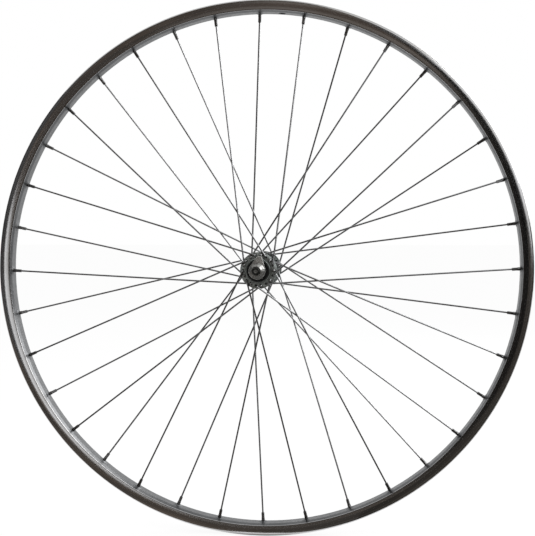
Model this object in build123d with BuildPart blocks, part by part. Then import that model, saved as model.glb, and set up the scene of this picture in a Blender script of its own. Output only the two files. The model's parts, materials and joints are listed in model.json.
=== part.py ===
from build123d import *
import os
from math import cos, radians, sin, sqrt

# A spoked front wheel with a bare single-wall rim and a solid nutted axle.
# Millimetres. The origin is the wheel's centre, the axle lies along Y and +Z is up.
# Angles around the wheel run from +X towards +Z. Left is +Y, right is -Y.

# Rim
bead_seat_diameter = 622.0
side_height = 6.0  # from the tyre's bead seat out to the lip
rim_width = 25.0
rim_depth = 14.0  # from the lip in to the hub side of the well
side_wall = 1.8
lip_round = 3.0
hook_reach = 1.6  # how far the lip overhangs the side wall's inner face
hook_height = 1.6
hook_slope = 1.2
track_height = 11.0  # from the lip down to the foot of the brake track
track_step = 0.8
ledge_width = 1.5
ledge_drop = 0.2
channel_depth = 4.2  # from the ledge down to where the channel's side bends in to the well
channel_draft = 0.6
well_width = 13.0  # across the flat of the well, on the hub side
well_wall = 1.9
well_corner_round = 2.0
shoulder_wall = 0.4
valve_hole_diameter = 8.5

# Spokes and nipples
spoke_count = 36
crossings = 3
first_spoke_angle = 10.37
spoke_diameter = 2.0
spoke_head_diameter = 3.8
spoke_head_top_diameter = 2.6
spoke_head_height = 1.3
elbow_radius = 1.8
crossing_bend_radius = 30.0
crossing_clearance = 0.1
elbow_clearance = 0.25
hole_stagger = 2.4  # spoke holes lie this far off the rim's middle, towards their own flange
spoke_hole_clearance = 0.25
spoke_hole_chamfer = 0.3
spoke_end_past_seat = 1.2
nipple_diameter = 4.0
nipple_flats = 3.4
nipple_flats_length = 6.5
nipple_shank_length = 11.8
nipple_head_diameter = 6.0
nipple_head_height = 1.6
nipple_dome_height = 0.8
nipple_dome_diameter = 4.0
nipple_bore_clearance = 0.05
nipple_hole_clearance = 0.25
nipple_seat_depth = 0.5
nipple_seat_clearance = 0.4
dimple_height = 0.8
dimple_base_diameter = 11.0
dimple_top_diameter = 7.0

# Hub
flange_spacing = 70.0
flange_thickness = 2.6
hole_margin = 3.64  # from the end boss out to the circle of spoke holes
flange_margin = 3.5  # from the hole circle out to the flange's edge
outer_bevel_width = 2.5
outer_bevel_depth = 0.8
inner_bevel = 0.3
barrel_diameter = 22.0
barrel_wall = 3.0
barrel_flare_length = 10.0
barrel_flare_end = 2.5  # length of the straight collar between flare and flange
end_boss_wall = 2.0
end_boss_chamfer = 0.5

# Bearings
ball_diameter = 4.762
balls_per_side = 9
ball_gap = 1.12  # between neighbouring balls
ball_offset = 1.2  # ball centres lie this far outside the flange's middle
race_clearance = 0.08
cup_wall = 1.1
cup_floor = 1.3
cup_lip_width = 1.0
cup_skirt = 3.3  # from the ball centres out to the cup's mouth
cup_seat_width = 2.7
retainer_thickness = 0.7
retainer_width = 1.7
retainer_clearance = 0.35  # to the cup and the cone
finger_length = 3.2
pocket_clearance = 0.15
cone_nose = 2.0
cone_nose_chamfer = 0.3
cone_land = 0.3
cone_neck_step = 0.4
cone_length = 7.3  # from the ball centres out to the cone's outer face
cone_flats = 13.0
cone_flats_length = 1.9
cap_thickness = 0.8
cap_depth = 1.5
cap_ledge = 0.5
cap_rise = 0.7
cap_clearance = 0.7

# Axle and its hardware
axle_diameter = 9.5
axle_tip = 4.5  # bare axle outside each nut
axle_tip_diameter = 9.0
thread_past_nut = 0.5
axle_chamfer = 0.8
axle_centre_diameter = 2.4
axle_centre_depth = 1.2
thread_clearance = 0.05
lock_washer_thickness = 1.8
lock_washer_diameter = 16.0
locknut_thickness = 4.7
locknut_flats = 17.0
nut_height = 9.5
nut_flats = 15.0
nut_base_diameter = 18.4
nut_base_height = 2.2
nut_cone_height = 2.6
nut_mouth_diameter = 11.0

# Retention washer
washer_thickness = 2.0
washer_diameter = 19.4
washer_reach = 17.0  # from the axle's centre to the tab's end
washer_tab_width = 5.0
washer_tab_angle = 80.0
washer_tab_length = 5.0  # how far the tab is folded towards the hub
washer_hole_clearance = 0.25

# Radii and places worked out from the sizes above
rim_outer = bead_seat_diameter / 2 + side_height
bead_seat = bead_seat_diameter / 2
well_outer = rim_outer - rim_depth
well_inner = well_outer + well_wall
nipple_seat = well_inner - nipple_seat_depth
rim_half = rim_width / 2
side_inner = rim_half - side_wall
spoke_radius = spoke_diameter / 2
axle_radius = axle_diameter / 2
tip_radius = axle_tip_diameter / 2
thread_radius = axle_radius + thread_clearance
ball_radius = ball_diameter / 2
ball_pitch = (ball_radius + ball_gap / 2) / sin(radians(180 / balls_per_side))
race_radius = ball_radius + race_clearance
cup_outer = ball_pitch + race_radius + cup_wall
boss_outer = cup_outer + end_boss_wall
cap_seat = cup_outer + cap_ledge
cone_neck = ball_pitch - cone_neck_step
hole_circle = boss_outer + hole_margin
flange_outer = hole_circle + flange_margin
flange_middle = flange_spacing / 2
flange_inside_face = flange_middle - flange_thickness / 2
flange_outside_face = flange_middle + flange_thickness / 2
ball_plane = flange_middle + ball_offset
cup_back = ball_plane - race_radius - cup_floor
cup_mouth = ball_plane + cup_skirt
hub_end = cup_mouth + cap_depth
cone_face = ball_plane + cone_length
locknut_base = cone_face + lock_washer_thickness
locknut_face = locknut_base + locknut_thickness
nut_base = locknut_face + washer_thickness
nut_face = nut_base + nut_height
thread_end = nut_face + thread_past_nut
axle_end = nut_face + axle_tip
spoke_pitch = 360 / spoke_count
hub_hole_offset = crossings * 2 * spoke_pitch


def wheel_point(radius, angle, across):
    """Point at a radius and an angle around the wheel, at a place along the axle."""
    return Vector(radius * cos(radians(angle)), across, radius * sin(radians(angle)))


def outside_corner(reach_to_crossing, crossing_height, perpendicular):
    """Height above the wheel's middle where a spoke outside its flange must bend to clear the flange."""
    start = sqrt(hole_circle**2 - perpendicular**2)
    heights = []
    for radius, face in (
        (flange_outer - outer_bevel_width, flange_outside_face),
        (flange_outer, flange_outside_face - outer_bevel_depth),
    ):
        along = (sqrt(radius**2 - perpendicular**2) - start) / reach_to_crossing
        wanted = face + spoke_radius + elbow_clearance
        heights.append((wanted - crossing_height * along) / (1 - along))
    return max(heights)


def spoke_route(number):
    """Head, elbow, crossing and rim seat of one spoke.

    Even spokes go to the left flange and odd ones to the right. Two of every four lie outside their
    flange; at the last crossing they pass under the two that lie inside it.
    """
    side = 1 if number % 2 == 0 else -1
    outside = number % 4 >= 2
    rim_angle = first_spoke_angle + number * spoke_pitch
    turn = -1 if outside else 1
    hub_angle = rim_angle + turn * hub_hole_offset
    hole = wheel_point(hole_circle, hub_angle, 0)
    rim_hole = wheel_point(nipple_seat, rim_angle, 0)
    across = wheel_point(1, rim_angle + turn * spoke_pitch + 90, 0)
    share = hole.dot(across) / (hole - rim_hole).dot(across)
    reach = (rim_hole - hole).length
    perpendicular = hole.cross(rim_hole).length / reach
    gap = spoke_radius + crossing_clearance / 2
    middle = flange_middle + share * (hole_stagger - flange_middle)
    if outside:
        crossing_height = middle - gap
        elbow_height = outside_corner(share * reach, crossing_height, perpendicular)
        head_height = flange_inside_face
    else:
        crossing_height = middle + gap
        elbow_height = flange_inside_face - spoke_radius - elbow_clearance
        head_height = flange_outside_face
    head = hole + Vector(0, side * head_height, 0)
    elbow = hole + Vector(0, side * elbow_height, 0)
    crossing = hole + (rim_hole - hole) * share + Vector(0, side * crossing_height, 0)
    seat = rim_hole + Vector(0, side * hole_stagger, 0)
    return head, elbow, crossing, seat


def nipple_plane(number):
    """Plane on the nipple's seat in the rim, with its normal along the spoke and away from the hub."""
    head, elbow, crossing, seat = spoke_route(number)
    return Plane(origin=seat, z_dir=seat - crossing)


def flange_plane(number):
    """Plane in the middle of the flange, on the hole of one spoke."""
    head, elbow, crossing, seat = spoke_route(number)
    across = flange_middle if head.Y > 0 else -flange_middle
    return Plane(origin=(head.X, across, head.Z), z_dir=(0, 1, 0))


def save(builder, name):
    """Label a finished piece and write it as the node of that name."""
    builder.part.label = name
    export_step(builder.part, f"parts/{name}.step")


os.makedirs("parts", exist_ok=True)
spoke_numbers = range(spoke_count)
nipple_planes = [nipple_plane(number) for number in spoke_numbers]

# Rim: half of its section is drawn, mirrored and turned about the axle.
with BuildPart() as rim:
    with BuildSketch(Plane.XY):
        track_foot = rim_outer - track_height
        hook_face = side_inner - hook_reach
        ledge_edge = bead_seat - ledge_drop
        with BuildLine():
            FilletPolyline(
                (well_outer, 0),
                (well_outer, well_width / 2),
                (track_foot - track_step, rim_half - track_step),
                (track_foot, rim_half),
                (rim_outer - lip_round, rim_half),
                radius=(well_corner_round, 0, 0),
            )
            CenterArc((rim_outer - lip_round, rim_half - lip_round), lip_round, 90, -90)
            Polyline(
                (rim_outer, rim_half - lip_round),
                (rim_outer - hook_height / 2, hook_face),
                (rim_outer - hook_height, hook_face),
                (rim_outer - hook_height - hook_slope, side_inner),
                (bead_seat, side_inner),
                (ledge_edge, side_inner - ledge_width),
                (ledge_edge - channel_depth, side_inner - ledge_width - channel_draft),
                (well_inner, well_width / 2 - shoulder_wall),
                (well_inner, 0),
                (well_outer, 0),
            )
        make_face()
        mirror(about=Plane.XZ)
    revolve(axis=Axis.Y)
    dimple_span = well_wall - nipple_seat_depth + dimple_height
    with Locations(*nipple_planes):
        with Locations((0, 0, -dimple_span)):
            Cone(
                dimple_top_diameter / 2,
                dimple_base_diameter / 2,
                dimple_span,
                align=(Align.CENTER, Align.CENTER, Align.MIN),
            )
        Cylinder(
            nipple_head_diameter / 2 + nipple_seat_clearance,
            nipple_head_height + nipple_dome_height,
            align=(Align.CENTER, Align.CENTER, Align.MIN),
            mode=Mode.SUBTRACT,
        )
        Cylinder(
            nipple_diameter / 2 + nipple_hole_clearance,
            4 * dimple_span,
            mode=Mode.SUBTRACT,
        )
    valve_angle = first_spoke_angle + (2 * crossings + 1.5) * spoke_pitch
    valve_point = wheel_point((well_outer + well_inner) / 2, valve_angle, 0)
    with Locations(Plane(origin=valve_point, z_dir=valve_point)):
        Cylinder(valve_hole_diameter / 2, 2 * well_wall, mode=Mode.SUBTRACT)
save(rim, "rim")

# Spokes: each is a round wire swept from its head, round the elbow and the last crossing, to the rim.
for number in spoke_numbers:
    head, elbow, crossing, seat = spoke_route(number)
    end = seat + (seat - crossing).normalized() * spoke_end_past_seat
    with BuildPart() as spoke:
        with BuildLine() as wire:
            FilletPolyline(head, elbow, crossing, end, radius=(elbow_radius, crossing_bend_radius))
        with BuildSketch(Plane(origin=head, z_dir=elbow - head)):
            Circle(spoke_radius)
        sweep(path=wire.line)
        with Locations(Plane(origin=head, z_dir=head - elbow)):
            Cone(
                spoke_head_diameter / 2,
                spoke_head_top_diameter / 2,
                spoke_head_height,
                align=(Align.CENTER, Align.CENTER, Align.MIN),
            )
    save(spoke, f"spoke_{number + 1:02d}")

# Nipples: a domed head on the rim's seat and a shank with four flats towards the hub.
with BuildPart() as nipple:
    shank_radius = nipple_diameter / 2
    bore_radius = spoke_radius + nipple_bore_clearance
    with BuildSketch(Plane.XZ):
        with BuildLine():
            Polyline(
                (bore_radius, -nipple_shank_length),
                (shank_radius, -nipple_shank_length),
                (shank_radius, 0),
                (nipple_head_diameter / 2, 0),
                (nipple_head_diameter / 2, nipple_head_height),
                (nipple_dome_diameter / 2, nipple_head_height + nipple_dome_height),
                (bore_radius, nipple_head_height + nipple_dome_height),
                (bore_radius, -nipple_shank_length),
            )
        make_face()
    revolve(axis=Axis.Z)
    with BuildSketch(Plane.XY.offset(-nipple_shank_length)):
        Circle(nipple_diameter)
        Rectangle(nipple_flats, nipple_flats, mode=Mode.SUBTRACT)
    extrude(amount=nipple_flats_length, mode=Mode.SUBTRACT)

with BuildPart() as nipples:
    with Locations(*nipple_planes):
        add(nipple.part)
save(nipples, "nipples")

# Hub shell: barrel, flanges and bearing seats in one turned piece, drilled for the spokes.
with BuildPart() as hub_shell:
    barrel_outer = barrel_diameter / 2
    barrel_inner = barrel_outer - barrel_wall
    flare_end = flange_inside_face - barrel_flare_end
    with BuildSketch(Plane.XY):
        with BuildLine():
            Polyline(
                (barrel_inner, 0),
                (barrel_outer, 0),
                (barrel_outer, flare_end - barrel_flare_length),
                (boss_outer, flare_end),
                (boss_outer, flange_inside_face),
                (flange_outer - inner_bevel, flange_inside_face),
                (flange_outer, flange_inside_face + inner_bevel),
                (flange_outer, flange_outside_face - outer_bevel_depth),
                (flange_outer - outer_bevel_width, flange_outside_face),
                (boss_outer, flange_outside_face),
                (boss_outer, hub_end - end_boss_chamfer),
                (boss_outer - end_boss_chamfer, hub_end),
                (cap_seat, hub_end),
                (cap_seat, cup_mouth),
                (cup_outer, cup_mouth),
                (cup_outer, cup_back),
                (cup_outer - cup_seat_width, cup_back),
                (barrel_inner, flare_end - barrel_flare_length),
                (barrel_inner, 0),
            )
        make_face()
        mirror(about=Plane.XZ)
    revolve(axis=Axis.Y)
    hole_radius = spoke_radius + spoke_hole_clearance
    mouth_radius = hole_radius + spoke_hole_chamfer
    with Locations(*[flange_plane(number) for number in spoke_numbers]):
        Cylinder(hole_radius, flange_thickness, mode=Mode.SUBTRACT)
        with Locations((0, 0, flange_thickness / 2)):
            Cone(
                hole_radius,
                mouth_radius,
                spoke_hole_chamfer,
                align=(Align.CENTER, Align.CENTER, Align.MAX),
                mode=Mode.SUBTRACT,
            )
        with Locations((0, 0, -flange_thickness / 2)):
            Cone(
                mouth_radius,
                hole_radius,
                spoke_hole_chamfer,
                align=(Align.CENTER, Align.CENTER, Align.MIN),
                mode=Mode.SUBTRACT,
            )
save(hub_shell, "hub_shell")

# Axle: a rod with turned-down, chamfered ends and centre marks.
with BuildPart() as axle:
    with BuildSketch(Plane.XY):
        with BuildLine():
            Polyline(
                (0, 0),
                (axle_radius, 0),
                (axle_radius, thread_end),
                (tip_radius, thread_end),
                (tip_radius, axle_end - axle_chamfer),
                (tip_radius - axle_chamfer, axle_end),
                (axle_centre_diameter / 2, axle_end),
                (0, axle_end - axle_centre_depth),
                (0, 0),
            )
        make_face()
        mirror(about=Plane.XZ)
    revolve(axis=Axis.Y)
save(axle, "axle")

# The left side's bearing and axle hardware. The right side mirrors it.
with BuildPart() as cup:
    with BuildSketch(Plane.XY):
        with BuildLine():
            Polyline(
                (ball_pitch, ball_plane - race_radius),
                (ball_pitch - cup_lip_width, ball_plane - race_radius),
                (ball_pitch - cup_lip_width, cup_back),
                (cup_outer, cup_back),
                (cup_outer, cup_mouth),
                (cup_outer - cup_wall, cup_mouth),
                (cup_outer - cup_wall, ball_plane),
            )
            CenterArc((ball_pitch, ball_plane), race_radius, 0, -90)
        make_face()
    revolve(axis=Axis.Y)

ball_angles = [360 / balls_per_side * number for number in range(balls_per_side)]
ball_points = [wheel_point(ball_pitch, angle, ball_plane) for angle in ball_angles]
with BuildPart() as balls:
    with Locations(*ball_points):
        Sphere(ball_radius)

with BuildPart() as ball_retainer:
    crown_base = ball_plane + ball_radius + pocket_clearance
    crown_outer = cup_outer - cup_wall - retainer_clearance
    with BuildSketch(Plane.XZ.offset(-crown_base - retainer_thickness)):
        Circle(crown_outer)
        Circle(crown_outer - retainer_width, mode=Mode.SUBTRACT)
    extrude(amount=retainer_thickness)
    finger_depth = crown_outer - ball_pitch - retainer_clearance
    with BuildSketch(Plane.XZ.offset(-crown_base)):
        with PolarLocations(crown_outer - finger_depth / 2, balls_per_side, 180 / balls_per_side):
            Rectangle(finger_depth, ball_gap - 2 * pocket_clearance)
    extrude(amount=finger_length)

with BuildPart() as cone:
    nose = ball_pitch - race_radius
    land_end = ball_plane + race_radius + cone_land
    with BuildSketch(Plane.XY):
        with BuildLine():
            Polyline(
                (nose, ball_plane),
                (nose, ball_plane - cone_nose + cone_nose_chamfer),
                (nose - cone_nose_chamfer, ball_plane - cone_nose),
                (thread_radius, ball_plane - cone_nose),
                (thread_radius, cone_face),
                (cone_neck, cone_face),
                (cone_neck, land_end),
                (ball_pitch, land_end),
                (ball_pitch, ball_plane + race_radius),
            )
            CenterArc((ball_pitch, ball_plane), race_radius, 90, 90)
        make_face()
    revolve(axis=Axis.Y)
    with BuildSketch(Plane.XZ.offset(-cone_face)):
        Circle(2 * cone_neck)
        Rectangle(4 * cone_neck, cone_flats, mode=Mode.SUBTRACT)
    extrude(amount=cone_flats_length, mode=Mode.SUBTRACT)

with BuildPart() as dust_cap:
    cap_inner = cone_neck + cap_clearance
    cap_top = hub_end + cap_rise
    with BuildSketch(Plane.XY):
        with BuildLine():
            Polyline(
                (cap_seat, cup_mouth),
                (cap_seat, hub_end),
                (cap_seat - cap_rise, cap_top),
                (cap_inner, cap_top),
                (cap_inner, cap_top - cap_thickness),
                (cap_seat - cap_rise - cap_thickness / 2, cap_top - cap_thickness),
                (cap_seat - cap_thickness, hub_end - cap_thickness / 2),
                (cap_seat - cap_thickness, cup_mouth),
                (cap_seat, cup_mouth),
            )
        make_face()
    revolve(axis=Axis.Y)

with BuildPart() as lock_washer:
    with BuildSketch(Plane.XZ.offset(-locknut_base)):
        Circle(lock_washer_diameter / 2)
        Circle(thread_radius, mode=Mode.SUBTRACT)
    extrude(amount=lock_washer_thickness)

with BuildPart() as locknut:
    with BuildSketch(Plane.XZ.offset(-locknut_face)):
        RegularPolygon(locknut_flats / 2, 6, major_radius=False)
        Circle(thread_radius, mode=Mode.SUBTRACT)
    extrude(amount=locknut_thickness)

with BuildPart() as retention_washer:
    tab_place = wheel_point(washer_reach - washer_thickness / 2, washer_tab_angle, 0)
    with BuildSketch(Plane.XZ.offset(-nut_base)):
        Circle(washer_diameter / 2)
        with Locations((tab_place.X, tab_place.Z)):
            Rectangle(washer_thickness, washer_tab_width, rotation=washer_tab_angle)
        make_hull()
        Circle(axle_radius + washer_hole_clearance, mode=Mode.SUBTRACT)
    extrude(amount=washer_thickness)
    with BuildSketch(Plane.XZ.offset(-locknut_face)):
        with Locations((tab_place.X, tab_place.Z)):
            Rectangle(washer_thickness, washer_tab_width, rotation=washer_tab_angle)
    extrude(amount=washer_tab_length)

with BuildPart() as axle_nut:
    with BuildSketch(Plane.XZ.offset(-nut_face)):
        RegularPolygon(nut_flats / 2, 6, major_radius=False)
    extrude(amount=nut_height)
    with BuildSketch(Plane.XY):
        with BuildLine():
            Polyline(
                (thread_radius, nut_base),
                (nut_base_diameter / 2, nut_base),
                (nut_base_diameter / 2, nut_base + nut_base_height / 2),
                (nut_flats / 2, nut_base + nut_base_height),
                (thread_radius, nut_base + nut_base_height),
                (thread_radius, nut_base),
            )
        make_face()
    revolve(axis=Axis.Y)
    with BuildSketch(Plane.XY):
        with BuildLine():
            Polyline(
                (nut_mouth_diameter / 2, nut_face),
                (nut_base_diameter / 2, nut_face),
                (nut_base_diameter / 2, nut_face - nut_cone_height),
                (nut_mouth_diameter / 2, nut_face),
            )
        make_face()
    revolve(axis=Axis.Y, mode=Mode.SUBTRACT)
    with BuildSketch(Plane.XZ.offset(-nut_face)):
        Circle(thread_radius)
    extrude(amount=nut_height, mode=Mode.SUBTRACT)

side_pieces = {
    "bearing_cup": cup,
    "balls": balls,
    "ball_retainer": ball_retainer,
    "cone": cone,
    "dust_cap": dust_cap,
    "lock_washer": lock_washer,
    "locknut": locknut,
    "retention_washer": retention_washer,
    "axle_nut": axle_nut,
}
for name, piece in side_pieces.items():
    save(piece, f"left_{name}")
    with BuildPart() as twin:
        mirror(piece.part, about=Plane.XZ)
    save(twin, f"right_{name}")
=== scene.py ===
import bmesh
import bpy
import json
from math import cos, hypot, pi, radians, sin, tan
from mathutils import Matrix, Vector

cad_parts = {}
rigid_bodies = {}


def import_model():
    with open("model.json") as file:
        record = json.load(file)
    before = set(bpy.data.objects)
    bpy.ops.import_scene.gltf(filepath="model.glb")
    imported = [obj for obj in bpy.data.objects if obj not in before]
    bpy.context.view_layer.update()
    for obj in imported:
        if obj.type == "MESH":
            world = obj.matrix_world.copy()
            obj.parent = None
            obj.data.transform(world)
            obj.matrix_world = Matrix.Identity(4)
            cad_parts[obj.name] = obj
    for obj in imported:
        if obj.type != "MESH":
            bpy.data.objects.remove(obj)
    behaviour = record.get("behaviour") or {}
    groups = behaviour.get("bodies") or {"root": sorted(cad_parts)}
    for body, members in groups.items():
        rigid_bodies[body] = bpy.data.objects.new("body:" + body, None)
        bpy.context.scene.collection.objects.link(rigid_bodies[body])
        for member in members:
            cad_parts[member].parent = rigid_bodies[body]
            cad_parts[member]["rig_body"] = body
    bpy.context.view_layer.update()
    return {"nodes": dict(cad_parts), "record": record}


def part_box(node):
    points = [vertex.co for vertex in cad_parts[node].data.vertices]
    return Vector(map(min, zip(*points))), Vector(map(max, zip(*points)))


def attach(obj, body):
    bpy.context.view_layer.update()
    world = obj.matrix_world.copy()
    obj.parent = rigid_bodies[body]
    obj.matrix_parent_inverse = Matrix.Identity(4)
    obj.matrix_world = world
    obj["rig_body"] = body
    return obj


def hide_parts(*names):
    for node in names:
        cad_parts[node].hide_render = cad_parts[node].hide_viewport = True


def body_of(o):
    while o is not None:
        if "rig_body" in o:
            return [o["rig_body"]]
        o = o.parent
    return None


# Looks of the bare front wheel: polished rim, steel spokes and a small nutted hub in a white studio.
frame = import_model()
nodes = frame["nodes"]
scene = bpy.context.scene
scene.view_settings.view_transform = "Standard"

# Sizes in metres
mm = 0.001
rim_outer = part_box("rim")[1].x
rim_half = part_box("rim")[1].y
lip_height = 3.0 * mm
well_outer = rim_outer - 14.0 * mm
track_foot = rim_outer - 12.2 * mm
track_middle = rim_outer - 7.0 * mm
lip_foot = rim_outer - lip_height
spoke_count = 36
spoke_pitch = 2 * pi / spoke_count
first_spoke_angle = radians(10.37)
hole_stagger = 2.4 * mm
valve_radius = 4.25 * mm
valve_angle = first_spoke_angle + 7.5 * spoke_pitch
hub_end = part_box("hub_shell")[1].y
bearing_grease_start = 38 * mm
axle_bare_radius = 2.6 * mm
washer_rounding = 0.75 * mm

# Shading of the made pieces
smooth_angle = radians(32)  # edges flatter than this are shaded smooth
across_axle = 0.999  # a face lies across the axle if more than this of its normal points along it


def new_object(name, data):
    """An object around a mesh, a lamp or a camera, put in the scene."""
    made = bpy.data.objects.new(name, data)
    scene.collection.objects.link(made)
    return made


# Finishes
def colour(red, green, blue):
    return (red, green, blue, 1.0)


def shaded(tone, share):
    """A tone made darker or lighter by a share."""
    return colour(*[share * part for part in tone])


class Finish:
    """One node material around a Principled shader, with short names for the nodes it needs."""

    def __init__(self, name):
        self.material = bpy.data.materials.new(name)
        self.material.use_nodes = True
        self.tree = self.material.node_tree
        self.shader = self.tree.nodes["Principled BSDF"]
        self.place = self.add("ShaderNodeTexCoord").outputs["Object"]
        parts = self.add("ShaderNodeSeparateXYZ", {0: self.place})
        self.x, self.y, self.z = parts.outputs
        squares = self.math("ADD", self.math("POWER", self.x, 2), self.math("POWER", self.z, 2))
        self.radius = self.math("SQRT", squares)

    def add(self, kind, inputs=None, **settings):
        """A node with its settings, its inputs fed with values or with other nodes' outputs."""
        made = self.tree.nodes.new(kind)
        for key, value in settings.items():
            setattr(made, key, value)
        for key, value in (inputs or {}).items():
            self.feed(made.inputs[key], value)
        return made

    def feed(self, socket, value):
        if isinstance(value, bpy.types.NodeSocket):
            self.tree.links.new(value, socket)
        else:
            socket.default_value = value

    def math(self, operation, a, b=0.0):
        return self.add("ShaderNodeMath", {0: a, 1: b}, operation=operation).outputs[0]

    def spread(self, value, low, high, to_low=0.0, to_high=1.0):
        """Smooth step of a value from low..high to to_low..to_high."""
        made = self.add(
            "ShaderNodeMapRange",
            {"Value": value, "From Min": low, "From Max": high, "To Min": to_low, "To Max": to_high},
            interpolation_type="SMOOTHSTEP",
        )
        return made.outputs["Result"]

    def noise(self, scale, detail=3.0, vector=None, w=None):
        """Soft noise in space, or in four dimensions if w is given."""
        inputs = {"Vector": vector or self.place, "Scale": scale, "Detail": detail}
        if w is None:
            return self.add("ShaderNodeTexNoise", inputs).outputs["Fac"]
        inputs["W"] = w
        return self.add("ShaderNodeTexNoise", inputs, noise_dimensions="4D").outputs["Fac"]

    def rings(self, along, across, detail=3.0):
        """Streaks that run around the axle: slow along the circle, fine across it."""
        slow = self.add("ShaderNodeVectorMath", {0: self.place, "Scale": along}, operation="SCALE")
        parts = self.add("ShaderNodeSeparateXYZ", {0: slow.outputs[0]}).outputs
        fine = self.math("MULTIPLY", self.radius, across)
        place = self.add("ShaderNodeCombineXYZ", {0: parts[0], 1: parts[2], 2: fine}).outputs[0]
        return self.noise(1.0, detail, vector=place, w=self.math("MULTIPLY", self.y, across))

    def blend(self, share, a, b):
        """A colour between a and b."""
        made = self.add("ShaderNodeMix", {0: share, 6: a, 7: b}, data_type="RGBA")
        return made.outputs[2]

    def between(self, share, a, b):
        """A number between a and b."""
        return self.add("ShaderNodeMix", {0: share, 2: a, 3: b}).outputs[0]

    def shade_and_dirt_in_corners(self, reach):
        """1 in tight corners, 0 in the open: ambient occlusion, used to paint shade, with some dirt, into
        corners.
        """
        made = self.add("ShaderNodeAmbientOcclusion", {"Distance": reach}, samples=6)
        return self.spread(made.outputs["AO"], low=0.35, high=0.95, to_low=1.0, to_high=0.0)

    def bump(self, height, strength, distance, edge=0.0):
        """Fine relief, on edges that are rounded off by a radius if one is given."""
        made = self.add("ShaderNodeBump", {"Height": height, "Strength": strength, "Distance": distance})
        if edge:
            soft = self.add("ShaderNodeBevel", {"Radius": edge}, samples=4)
            self.feed(made.inputs["Normal"], soft.outputs["Normal"])
        self.feed(self.shader.inputs["Normal"], made.outputs["Normal"])

    def set(self, **values):
        """Feed the shader's inputs, with an underscore for each space in their names."""
        for key, value in values.items():
            self.feed(self.shader.inputs[key.replace("_", " ")], value)
        return self.material


def rim_finish():
    """Polished outer faces with fine drawn lines; the well, its slopes and the channel are left dull."""
    fresh_alloy = colour(0.66, 0.66, 0.67)
    hazy_alloy = colour(0.58, 0.575, 0.57)
    worn_alloy = colour(0.20, 0.19, 0.18)
    well_tones = (colour(0.120, 0.123, 0.127), colour(0.152, 0.156, 0.160))
    # The slopes take a darker copy of the well's alloy: painted shade.
    shaded_slope_tones = (colour(0.088, 0.090, 0.093), colour(0.112, 0.114, 0.117))
    foot_crease_shade = colour(0.03, 0.03, 0.03)
    corner_shade_and_dirt = colour(0.035, 0.033, 0.03)
    worn_share = 0.45
    foot_crease_shade_share = 0.6
    corner_shade_and_dirt_share = 0.75
    corner_shade_and_dirt_reach = 5 * mm

    # Where one finish passes into the next: two borders across the wheel, then those along its radius
    side_border = (rim_half - 1.3 * mm, rim_half - 0.8 * mm)
    slope_border = (6.0 * mm, 7.2 * mm)
    foot_border = (track_foot - 0.9 * mm, track_foot - 0.3 * mm)
    lip_border = (lip_foot + 1.2 * mm, lip_foot + 1.8 * mm)
    # painted shade runs along this line at the track's foot
    crease_shade_line = track_foot + 0.3 * mm
    crease_shade_border = (0.3 * mm, 0.7 * mm)

    f = Finish("rim_polished_alloy")
    from_middle = f.math("ABSOLUTE", f.y)
    on_slope = f.spread(from_middle, *slope_border)
    on_side = f.math("MULTIPLY", f.spread(from_middle, *side_border), f.spread(f.radius, *foot_border))
    polished = f.math("MAXIMUM", on_side, f.spread(f.radius, *lip_border))

    haze = f.spread(f.noise(scale=22.0, detail=4.0), low=0.35, high=0.7)
    bright = f.blend(haze, fresh_alloy, hazy_alloy)
    worn = f.spread(f.rings(along=1.5, across=420.0, detail=2.0), low=0.42, high=0.58)
    bright = f.blend(f.math("MULTIPLY", worn, worn_share), bright, worn_alloy)
    blotch = f.spread(f.noise(scale=60.0, detail=5.0), low=0.3, high=0.7)
    dull = f.blend(on_slope, f.blend(blotch, *well_tones), f.blend(blotch, *shaded_slope_tones))
    base = f.blend(polished, dull, bright)
    # A dark line is painted along the crease at the brake track's foot: painted shade.
    off_line = f.math("ABSOLUTE", f.math("SUBTRACT", f.radius, crease_shade_line))
    painted_crease_shade = f.spread(off_line, *crease_shade_border, to_low=foot_crease_shade_share, to_high=0.0)
    base = f.blend(painted_crease_shade, base, foot_crease_shade)
    # Painted shade, with some dirt, darkens the rim's corners, such as around the nipples.
    in_corner = f.math("MULTIPLY", f.shade_and_dirt_in_corners(corner_shade_and_dirt_reach), corner_shade_and_dirt_share)
    base = f.blend(in_corner, base, corner_shade_and_dirt)

    lines = f.rings(along=4.0, across=2600.0)
    shine = f.spread(lines, low=0.3, high=0.7, to_low=0.10, to_high=0.2)
    grain = f.noise(scale=300.0, detail=2.0)
    matt_well = f.spread(grain, low=0.3, high=0.7, to_low=0.36, to_high=0.46)
    matt_slope = f.spread(grain, low=0.3, high=0.7, to_low=0.26, to_high=0.34)
    rough = f.between(polished, f.between(on_slope, matt_well, matt_slope), shine)
    f.bump(lines, strength=0.1, distance=0.05 * mm)
    return f.set(Base_Color=base, Metallic=1.0, Roughness=rough)


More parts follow.
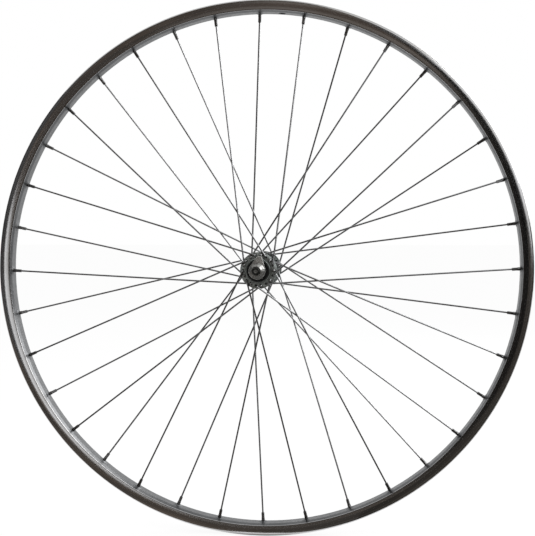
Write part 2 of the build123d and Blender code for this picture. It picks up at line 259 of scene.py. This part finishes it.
def metal_finish(name, tone, rough, line_scale=0.0, shade_and_dirt=0.6, shade_and_dirt_reach=3 * mm, metal=1.0, edge=0.0,
                 dark_film_from=None, bare=None):
    """Steel or alloy with slight blotches, and painted shade with some dirt in its corners.

    If asked, it has turning lines, rounded edges, a darker film on faces further out along the axle than
    a given distance (old grease on the bearings), and a paler core nearer to the axle's line than a given
    radius.
    """
    blotch_share = 0.78
    smoother = 0.8
    rougher = 1.25
    shade_and_dirt_tone = colour(0.02, 0.018, 0.016)
    film_tone = colour(0.012, 0.011, 0.010)
    film_share = 0.8
    film_border = 0.5 * mm
    bare_tone = colour(0.20, 0.20, 0.19)
    bare_core = 0.6  # of the pale core's radius; from there outwards the paler colour fades away

    f = Finish(name)
    cloud = f.spread(f.noise(scale=140.0, detail=4.0), low=0.32, high=0.7)
    base = f.blend(cloud, colour(*tone), shaded(tone, blotch_share))
    # Painted shade, with some dirt, darkens the corners by ambient occlusion.
    base = f.blend(f.math("MULTIPLY", f.shade_and_dirt_in_corners(shade_and_dirt_reach), shade_and_dirt), base, shade_and_dirt_tone)
    # A darker film on faces further out along the axle.
    if dark_film_from:
        along = f.math("ABSOLUTE", f.y)
        film = f.spread(along, dark_film_from - film_border, dark_film_from, to_low=0.0, to_high=film_share)
        base = f.blend(film, base, film_tone)
    # The colour turns paler near the axle's line.
    if bare:
        core = f.spread(f.radius, bare_core * bare, bare, to_low=1.0, to_high=0.0)
        base = f.blend(core, base, bare_tone)
    if line_scale:
        grain = f.rings(along=20.0, across=line_scale)
    else:
        grain = f.noise(scale=2500.0, detail=2.0)
    f.bump(grain, strength=0.3, distance=0.03 * mm, edge=edge)
    rough_map = f.spread(grain, low=0.25, high=0.75, to_low=rough * smoother, to_high=rough * rougher)
    return f.set(Base_Color=base, Metallic=metal, Roughness=rough_map)


def plastic_finish(name, tone, rough):
    """Dull moulded plastic with a fine grain."""
    blotch_share = 1.6
    smoother = 0.85
    rougher = 1.15
    f = Finish(name)
    cloud = f.spread(f.noise(scale=120.0, detail=3.0), low=0.35, high=0.65)
    base = f.blend(cloud, colour(*tone), shaded(tone, blotch_share))
    grain = f.noise(scale=1800.0, detail=3.0)
    f.bump(grain, strength=0.35, distance=0.05 * mm)
    rough_map = f.spread(grain, low=0.3, high=0.7, to_low=rough * smoother, to_high=rough * rougher)
    return f.set(Base_Color=base, Roughness=rough_map, Specular_IOR_Level=0.1)


finishes = {
    "rim_alloy": rim_finish(),
    "spoke_steel": metal_finish("spoke_steel", tone=(0.34, 0.343, 0.35), rough=0.26),
    "nipple_brass": metal_finish("nipple_plated", tone=(0.26, 0.26, 0.262), rough=0.32),
    # The film darkens the hub shell's end faces.
    "hub_alloy": metal_finish(
        "hub_alloy", tone=(0.46, 0.50, 0.487), rough=0.3, line_scale=2600.0, shade_and_dirt=0.78,
        shade_and_dirt_reach=6 * mm, metal=0.88, edge=0.3 * mm, dark_film_from=hub_end),
    # The axle's end face is paler in its middle.
    "axle_steel": metal_finish(
        "axle_dark_steel", tone=(0.03, 0.03, 0.029), rough=0.4, line_scale=3000.0, metal=0.9,
        bare=axle_bare_radius),
    "bearing_steel": metal_finish(
        "bearing_ground_steel", tone=(0.5, 0.5, 0.51), rough=0.2, line_scale=3000.0,
        dark_film_from=bearing_grease_start),
    "black_plastic": plastic_finish("cap_black_plastic", tone=(0.004, 0.004, 0.004), rough=0.6),
    "zinc_steel": metal_finish("zinc_plated_steel", tone=(0.45, 0.445, 0.43), rough=0.22, metal=0.8),
    "chrome_steel": metal_finish(
        "nut_chromed_steel", tone=(0.32, 0.32, 0.31), rough=0.2, metal=0.85, edge=0.4 * mm),
}
for part in frame["record"]["subparts"]:
    mesh = nodes[part["node"]].data
    mesh.materials.clear()
    mesh.materials.append(finishes[part["material_slot"]])


# Rim
def rounded(corners, steps=3):
    """Line through corners (r, y, rounding), each rounded off by an arc of its own radius."""
    line = [Vector(corners[0][:2])]
    for before, (r, y, rounding), after in zip(corners, corners[1:], corners[2:]):
        here = Vector((r, y))
        if rounding == 0:
            line.append(here)
            continue
        back = (Vector(before[:2]) - here).normalized()
        on = (Vector(after[:2]) - here).normalized()
        half = back.angle(on) / 2
        reach = rounding / tan(half)
        centre = here + (back + on).normalized() * (rounding / sin(half))
        start = here + back * reach - centre
        turn = start.angle_signed(here + on * reach - centre)
        for step in range(steps + 1):
            angle = -turn * step / steps
            line.append(centre + Vector((start.x * cos(angle) - start.y * sin(angle),
                                         start.x * sin(angle) + start.y * cos(angle))))
    line.append(Vector(corners[-1][:2]))
    return line


def rim_section():
    """Right half of the rim's section, from the well's middle round the lip to the channel's middle.

    It is worked out in millimetres, and its points are returned in metres.
    """
    half = rim_half / mm
    outer = rim_outer / mm
    foot = track_foot / mm
    middle = track_middle / mm
    lip_start = lip_foot / mm
    lip_rise = lip_height / mm
    well = well_outer / mm
    bow = 0.0175  # the brake track bulges by this much times the square of the way from its middle
    crown = bow * (lip_start - middle) ** 2
    track_steps = 12
    lip_turns = range(15, 91, 15)  # degrees
    flat_points = 6
    flat_step = 0.9
    well_half = 6.5
    well_rounding = 1.6
    foot_rounding = 0.3
    hook_half = 9.1
    wall_half = 10.7
    seat_half = 9.2
    bed_top_half = 8.6
    bed_half = 6.1
    bed_depth = 12.1

    flat = [(well, flat_step * step, 0) for step in range(flat_points)]
    heights = [foot + (lip_start - foot) * step / track_steps for step in range(track_steps + 1)]
    side = [(r, half - bow * (r - middle) ** 2, 0) for r in heights]
    slope = [
        (well, well_half, well_rounding),
        (foot - foot_rounding, side[0][1] - foot_rounding, foot_rounding),
    ]
    lip = []
    for turn in lip_turns:
        drop = (lip_rise - crown) * (1 - cos(radians(turn)))
        lip.append((lip_start + lip_rise * sin(radians(turn)), half - crown - drop, 0))
    channel = [
        (outer - 0.8, hook_half, 0.3),
        (outer - 1.6, hook_half, 0.3),
        (outer - 2.8, wall_half, 0.5),
        (outer - 6.0, wall_half, 0.4),
        (outer - 6.2, seat_half, 0.3),
        (outer - 10.4, bed_top_half, 1.2),
        (outer - bed_depth, bed_half, 1.0),
        (outer - bed_depth, 0, 0),
    ]
    return [p * mm for p in rounded(flat + slope + side + lip + channel)]


def rim_stations():
    """Angles around the rim: close together at the spoke holes, wider between them."""
    near_step = 0.2  # degrees
    near_count = 6
    near_reach = 1.2
    wide_reach = 7.6
    wide_count = 5
    near = [radians(near_step * step) for step in range(-near_count, near_count + 1)]
    wide = [radians(near_reach + wide_reach * step / wide_count) for step in range(1, wide_count)]
    return [first_spoke_angle + spoke_pitch * k + a for k in range(spoke_count) for a in near + wide]


def dimple(angle, y):
    """How far the well is pressed in towards the hub near a spoke hole."""
    reach = 5.6 * mm
    slope = 2.4 * mm
    depth = 0.8 * mm
    k = round((angle - first_spoke_angle) / spoke_pitch)
    side = 1 if k % 2 == 0 else -1
    along = well_outer * (angle - first_spoke_angle - k * spoke_pitch)
    away = hypot(along, y - side * hole_stagger)
    share = min(max((reach - away) / slope, 0), 1)
    return depth * share * share * (3 - 2 * share)


def build_rim():
    """A finer hoop of the CAD rim's form, with its dimples and its valve hole."""
    dimpled_height = 1.2 * mm
    drill_sides = 48
    drill_depth = 12 * mm
    half = rim_section()
    section = half + [Vector((p.x, -p.y)) for p in reversed(half[1:-1])]
    angles = rim_stations()
    points = []
    for angle in angles:
        for r, y in section:
            if r < well_outer + dimpled_height:
                r -= dimple(angle, y)
            points.append((r * cos(angle), y, r * sin(angle)))
    count = len(section)
    faces = []
    for i in range(len(angles)):
        j = (i + 1) % len(angles)
        for a in range(count):
            b = (a + 1) % count
            faces.append((i * count + a, i * count + b, j * count + b, j * count + a))
    mesh = bpy.data.meshes.new("rim_hoop")
    mesh.from_pydata(points, [], faces)
    hoop = new_object("rim_hoop", mesh)
    bpy.ops.mesh.primitive_cylinder_add(
        vertices=drill_sides, radius=valve_radius, depth=drill_depth,
        location=(well_outer * cos(valve_angle), 0, well_outer * sin(valve_angle)),
        rotation=(0, pi / 2 - valve_angle, 0))
    drill = bpy.context.object
    cut = hoop.modifiers.new("valve_hole", "BOOLEAN")
    cut.object = drill
    cut.solver = "EXACT"
    bpy.context.view_layer.update()
    drilled = bpy.data.meshes.new_from_object(hoop.evaluated_get(bpy.context.evaluated_depsgraph_get()))
    hoop.modifiers.clear()
    hoop.data = drilled
    bpy.data.objects.remove(drill)
    for face in drilled.polygons:
        face.use_smooth = True
    drilled.set_sharp_from_angle(angle=smooth_angle)
    drilled.materials.clear()
    drilled.materials.append(finishes["rim_alloy"])
    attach(hoop, "wheel")
    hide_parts("rim")


build_rim()


# Spoke heads
def head_end(mesh):
    """Centre, radius and way out of a spoke head's flat end.

    The flat end is the smaller of the spoke's two faces across the axle.
    """
    flat = {1: [], -1: []}
    for face in mesh.polygons:
        if abs(face.normal.y) > across_axle:
            flat[1 if face.normal.y > 0 else -1].append(face)
    way = min(flat, key=lambda side: sum(face.area for face in flat[side]))
    rim = [mesh.vertices[i].co for face in flat[way] for i in face.vertices]
    low = Vector([min(p[axis] for p in rim) for axis in range(3)])
    high = Vector([max(p[axis] for p in rim) for axis in range(3)])
    return (low + high) / 2, (high.x - low.x) / 2, way


def build_head_domes():
    """A forged dome on the flat end of every spoke head, closed below and sunk a little into it."""
    rings = 4
    around = 20
    rise = 0.5 * mm
    sunk = 0.1 * mm
    levels = [(1.0, -sunk)]
    for ring in range(rings):
        angle = pi / 2 * ring / rings
        levels.append((cos(angle), rise * sin(angle)))
    points = []
    faces = []
    for number in range(1, spoke_count + 1):
        centre, radius, way = head_end(nodes[f"spoke_{number:02d}"].data)
        start = len(points)
        for share, height in levels:
            for step in range(around):
                turn = 2 * pi * step / around * way
                x = share * radius * sin(turn)
                z = share * radius * cos(turn)
                points.append(centre + Vector((x, way * height, z)))
        top = len(points)
        points.append(centre + Vector((0, way * rise, 0)))
        faces.append([start + step for step in reversed(range(around))])
        for ring in range(len(levels)):
            for step in range(around):
                a = start + ring * around + step
                b = start + ring * around + (step + 1) % around
                if ring + 1 < len(levels):
                    faces.append((a, b, b + around, a + around))
                else:
                    faces.append((a, b, top))
    mesh = bpy.data.meshes.new("spoke_head_domes")
    mesh.from_pydata(points, [], faces)
    for face in mesh.polygons:
        face.use_smooth = True
    # The domes take a much lighter copy of the spokes' steel: painted highlights on the heads.
    mesh.materials.append(metal_finish("spoke_head_painted_highlight", tone=(0.66, 0.66, 0.67), rough=0.18))
    domes = new_object("spoke_head_domes", mesh)
    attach(domes, "wheel")


build_head_domes()


# Retention washers
def build_rounded(node, width):
    """A CAD piece again, with its sharp edges rounded off as a stamping's are."""
    same_place = 0.001 * mm
    same_plane = radians(1)
    sharp_angle = radians(35)
    arc_steps = 4
    solid = bmesh.new()
    solid.from_mesh(nodes[node].data)
    bmesh.ops.remove_doubles(solid, verts=solid.verts, dist=same_place)
    bmesh.ops.dissolve_limit(solid, angle_limit=same_plane, verts=solid.verts, edges=solid.edges)
    sharp = [edge for edge in solid.edges if edge.is_manifold and edge.calc_face_angle() > sharp_angle]
    bmesh.ops.bevel(solid, geom=sharp, offset=width, segments=arc_steps, profile=0.5, affect="EDGES",
                    clamp_overlap=True)
    name = f"{node}_rounded"
    mesh = bpy.data.meshes.new(name)
    solid.to_mesh(mesh)
    solid.free()
    for face in mesh.polygons:
        face.use_smooth = abs(face.normal.y) < across_axle
    mesh.set_sharp_from_angle(angle=smooth_angle)
    mesh.materials.append(finishes["zinc_steel"])
    made = new_object(name, mesh)
    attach(made, body_of(nodes[node])[0])
    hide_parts(node)


for washer in ("left_retention_washer", "right_retention_washer"):
    build_rounded(washer, washer_rounding)


# Studio
def empty_tree(owner):
    """The cleared node tree of a material or a world."""
    owner.use_nodes = True
    owner.node_tree.nodes.clear()
    return owner.node_tree


def seen_directly(tree):
    """1 for camera, glossy and transmission rays, so that metal mirrors the same white background."""
    path = tree.nodes.new("ShaderNodeLightPath")
    total = path.outputs["Is Camera Ray"]
    for name in ("Is Glossy Ray", "Is Transmission Ray"):
        both = tree.nodes.new("ShaderNodeMath")
        both.operation = "MAXIMUM"
        tree.links.new(total, both.inputs[0])
        tree.links.new(path.outputs[name], both.inputs[1])
        total = both.outputs[0]
    return total


def white_floor(height, half):
    """A white floor that mostly glows where it is seen, so that only a soft shadow shows on it."""
    glow_share = 0.93
    corners = [(-half, -half, height), (half, -half, height), (half, half, height), (-half, half, height)]
    mesh = bpy.data.meshes.new("floor")
    mesh.from_pydata(corners, [], [(0, 1, 2, 3)])
    floor = new_object("floor", mesh)
    material = bpy.data.materials.new("floor_white")
    tree = empty_tree(material)
    paint = tree.nodes.new("ShaderNodeBsdfDiffuse")
    paint.inputs["Color"].default_value = colour(1, 1, 1)
    glow = tree.nodes.new("ShaderNodeEmission")
    glow.inputs["Color"].default_value = colour(1, 1, 1)
    share = tree.nodes.new("ShaderNodeMath")
    share.operation = "MULTIPLY"
    share.inputs[1].default_value = glow_share
    tree.links.new(seen_directly(tree), share.inputs[0])
    mix = tree.nodes.new("ShaderNodeMixShader")
    tree.links.new(share.outputs[0], mix.inputs[0])
    tree.links.new(paint.outputs[0], mix.inputs[1])
    tree.links.new(glow.outputs[0], mix.inputs[2])
    out = tree.nodes.new("ShaderNodeOutputMaterial")
    tree.links.new(mix.outputs[0], out.inputs["Surface"])
    mesh.materials.append(material)


def white_world(fill):
    """White where it is seen or mirrored, and a dimmer white light for everything else."""
    scene.world = bpy.data.worlds.new("studio")
    tree = empty_tree(scene.world)
    mix = tree.nodes.new("ShaderNodeMixShader")
    tree.links.new(seen_directly(tree), mix.inputs[0])
    for place, strength in ((1, fill), (2, 1.0)):
        light = tree.nodes.new("ShaderNodeBackground")
        light.inputs["Color"].default_value = colour(1, 1, 1)
        light.inputs["Strength"].default_value = strength
        tree.links.new(light.outputs[0], mix.inputs[place])
    out = tree.nodes.new("ShaderNodeOutputWorld")
    tree.links.new(mix.outputs[0], out.inputs["Surface"])


def soft_lamp(name, place, size, energy, mirrored=True):
    """A square soft lamp that faces the wheel's centre; metal mirrors it unless told not to."""
    data = bpy.data.lights.new(name, "AREA")
    data.size = size
    data.energy = energy
    lamp = new_object(name, data)
    lamp.location = Vector(place)
    lamp.rotation_euler = (-Vector(place)).to_track_quat("-Z", "Y").to_euler()
    lamp.visible_glossy = mirrored


white_floor(height=-rim_outer, half=30.0)
white_world(fill=0.7)
soft_lamp("left", place=(-1.6, -1.5, 1.8), size=1.2, energy=30, mirrored=False)
soft_lamp("right", place=(1.8, -1.25, 1.25), size=1.2, energy=18)
soft_lamp("right_back", place=(1.5, 1.25, 1.0), size=1.5, energy=31)

# The mirrored room in metres: a front wall on the camera's side, two side walls, a ceiling and a floor
wall_front = -1.2
room_half = 2.6
ceiling = 2.0
floor_level = 0.3 * mm - rim_outer
sides_back = 2.2
right_side_top = 0.45
ceiling_back = -0.8
floor_back = -0.02
floor_split = 0.12

# Places on the front wall; the window and the upper right are left open to the white studio
window_left = -0.80
window_right = -0.22
window_head_left = 0.16
window_head_right = -0.13
window_sill_left = -0.12
window_foot = -0.55
wall_middle = 0.05
wall_right = 0.25
warm_top = 0.40
brown_top = 0.78
dark_right = 0.54
dark_level = 0.05
dark_left_top = 0.10
dark_top = 0.95
dark_edge = [(0.87, dark_level), (0.735, 0.175), (0.58, 0.372), (0.455, 0.545), (0.43, dark_top)]

# Tones of the room, each in soft patches between a darker and a lighter colour
grey_room = ((0.050, 0.050, 0.050), (0.105, 0.103, 0.103))
brown_room = ((0.054, 0.048, 0.043), (0.125, 0.098, 0.080))
warm_room = ((0.095, 0.087, 0.080), (0.19, 0.165, 0.145))
floor_room = ((0.070, 0.064, 0.058), (0.155, 0.126, 0.104))
dim_room = ((0.042, 0.038, 0.034), (0.096, 0.085, 0.073))
dark_room = ((0.006, 0.006, 0.006), (0.020, 0.019, 0.018))


def card(name, corners, tones):
    """A flat card that only shows in reflections: it gives the polished metal a dark room to mirror."""
    patch_scale = 3.0
    patch_detail = 2.0
    patch_range = (0.35, 0.65)
    mesh = bpy.data.meshes.new(name)
    mesh.from_pydata([Vector(c) for c in corners], [], [tuple(range(len(corners)))])
    made = new_object(name, mesh)
    material = bpy.data.materials.new(name)
    tree = empty_tree(material)
    place = tree.nodes.new("ShaderNodeTexCoord")
    noise = tree.nodes.new("ShaderNodeTexNoise")
    noise.inputs["Scale"].default_value = patch_scale
    noise.inputs["Detail"].default_value = patch_detail
    tree.links.new(place.outputs["Object"], noise.inputs["Vector"])
    ramp = tree.nodes.new("ShaderNodeValToRGB")
    for stop, position, tone in zip(ramp.color_ramp.elements, patch_range, tones):
        stop.position = position
        stop.color = colour(*tone)
    tree.links.new(noise.outputs["Fac"], ramp.inputs["Fac"])
    glow = tree.nodes.new("ShaderNodeEmission")
    tree.links.new(ramp.outputs["Color"], glow.inputs["Color"])
    out = tree.nodes.new("ShaderNodeOutputMaterial")
    tree.links.new(glow.outputs[0], out.inputs["Surface"])
    mesh.materials.append(material)
    made.visible_camera = False
    made.visible_diffuse = False
    made.visible_transmission = False
    made.visible_volume_scatter = False
    made.visible_shadow = False


def wall_card(name, corners, tones):
    """A card on the front wall, given by its corners in X and Z."""
    card(name, [(x, wall_front, z) for x, z in corners], tones)


def wall_box(name, left, right, low, high, tones):
    """A rectangle on the front wall."""
    wall_card(name, [(left, low), (right, low), (right, high), (left, high)], tones)


def side_card(name, x, high, tones):
    """A side wall from the floor up, from the front wall back past the wheel."""
    low = floor_level
    corners = [(wall_front, low), (sides_back, low), (sides_back, high), (wall_front, high)]
    card(name, [(x, y, z) for y, z in corners], tones)


def level_card(name, z, left, right, back, tones):
    """A stretch of floor or ceiling, from the front wall back to a line."""
    card(name, [(left, wall_front, z), (right, wall_front, z), (right, back, z), (left, back, z)], tones)


wall_box("room_left", -room_half, window_left, floor_level, ceiling, grey_room)
wall_card("room_over_window", [
    (window_left, window_head_left),
    (window_right, window_head_right),
    (window_right, ceiling),
    (window_left, ceiling),
], brown_room)
wall_card("room_under_window", [
    (window_left, floor_level),
    (window_foot, floor_level),
    (window_left, window_sill_left),
], grey_room)
wall_card("room_middle_low", [
    (window_right, floor_level),
    (wall_middle, floor_level),
    (wall_middle, dark_left_top),
    (wall_right, warm_top),
    (window_right, warm_top),
], warm_room)
wall_box("room_middle", window_right, wall_right, warm_top, brown_top, brown_room)
wall_box("room_middle_high", window_right, wall_right, brown_top, ceiling, warm_room)
wall_box("room_right_low", wall_middle, dark_right, floor_level, dark_level, dark_room)
wall_box("room_right_far", dark_right, room_half, floor_level, dark_level, dim_room)
wall_card("room_right_high", [
    (wall_middle, dark_level),
    *dark_edge,
    (wall_right, dark_top),
    (wall_right, warm_top),
    (wall_middle, dark_left_top),
], dark_room)
side_card("room_left_side", -room_half, ceiling, grey_room)
side_card("room_right_side", room_half, right_side_top, dark_room)
level_card("room_ceiling", ceiling, -room_half, wall_right, ceiling_back, brown_room)
level_card("room_floor_left", floor_level, -room_half, floor_split, floor_back, floor_room)
level_card("room_floor_right", floor_level, floor_split, room_half, floor_back, dim_room)

# Camera at the photo's angle
yaw = radians(5.459)
pitch = radians(1.918)
distance = 1.25
shift_right = 7.17  # millimetres
shift_up = 1.75
forward = Vector((-sin(yaw) * cos(pitch), cos(yaw) * cos(pitch), -sin(pitch)))
right = Vector((cos(yaw), sin(yaw), 0))
up = right.cross(forward)
lens = bpy.data.cameras.new("camera")
lens.lens = 70.5
lens.sensor_width = 36.0
lens.clip_start = 0.01
camera = new_object("camera", lens)
camera.location = right * shift_right * mm + up * shift_up * mm - forward * distance
camera.rotation_euler = forward.to_track_quat("-Z", "Y").to_euler()
scene.camera = camera
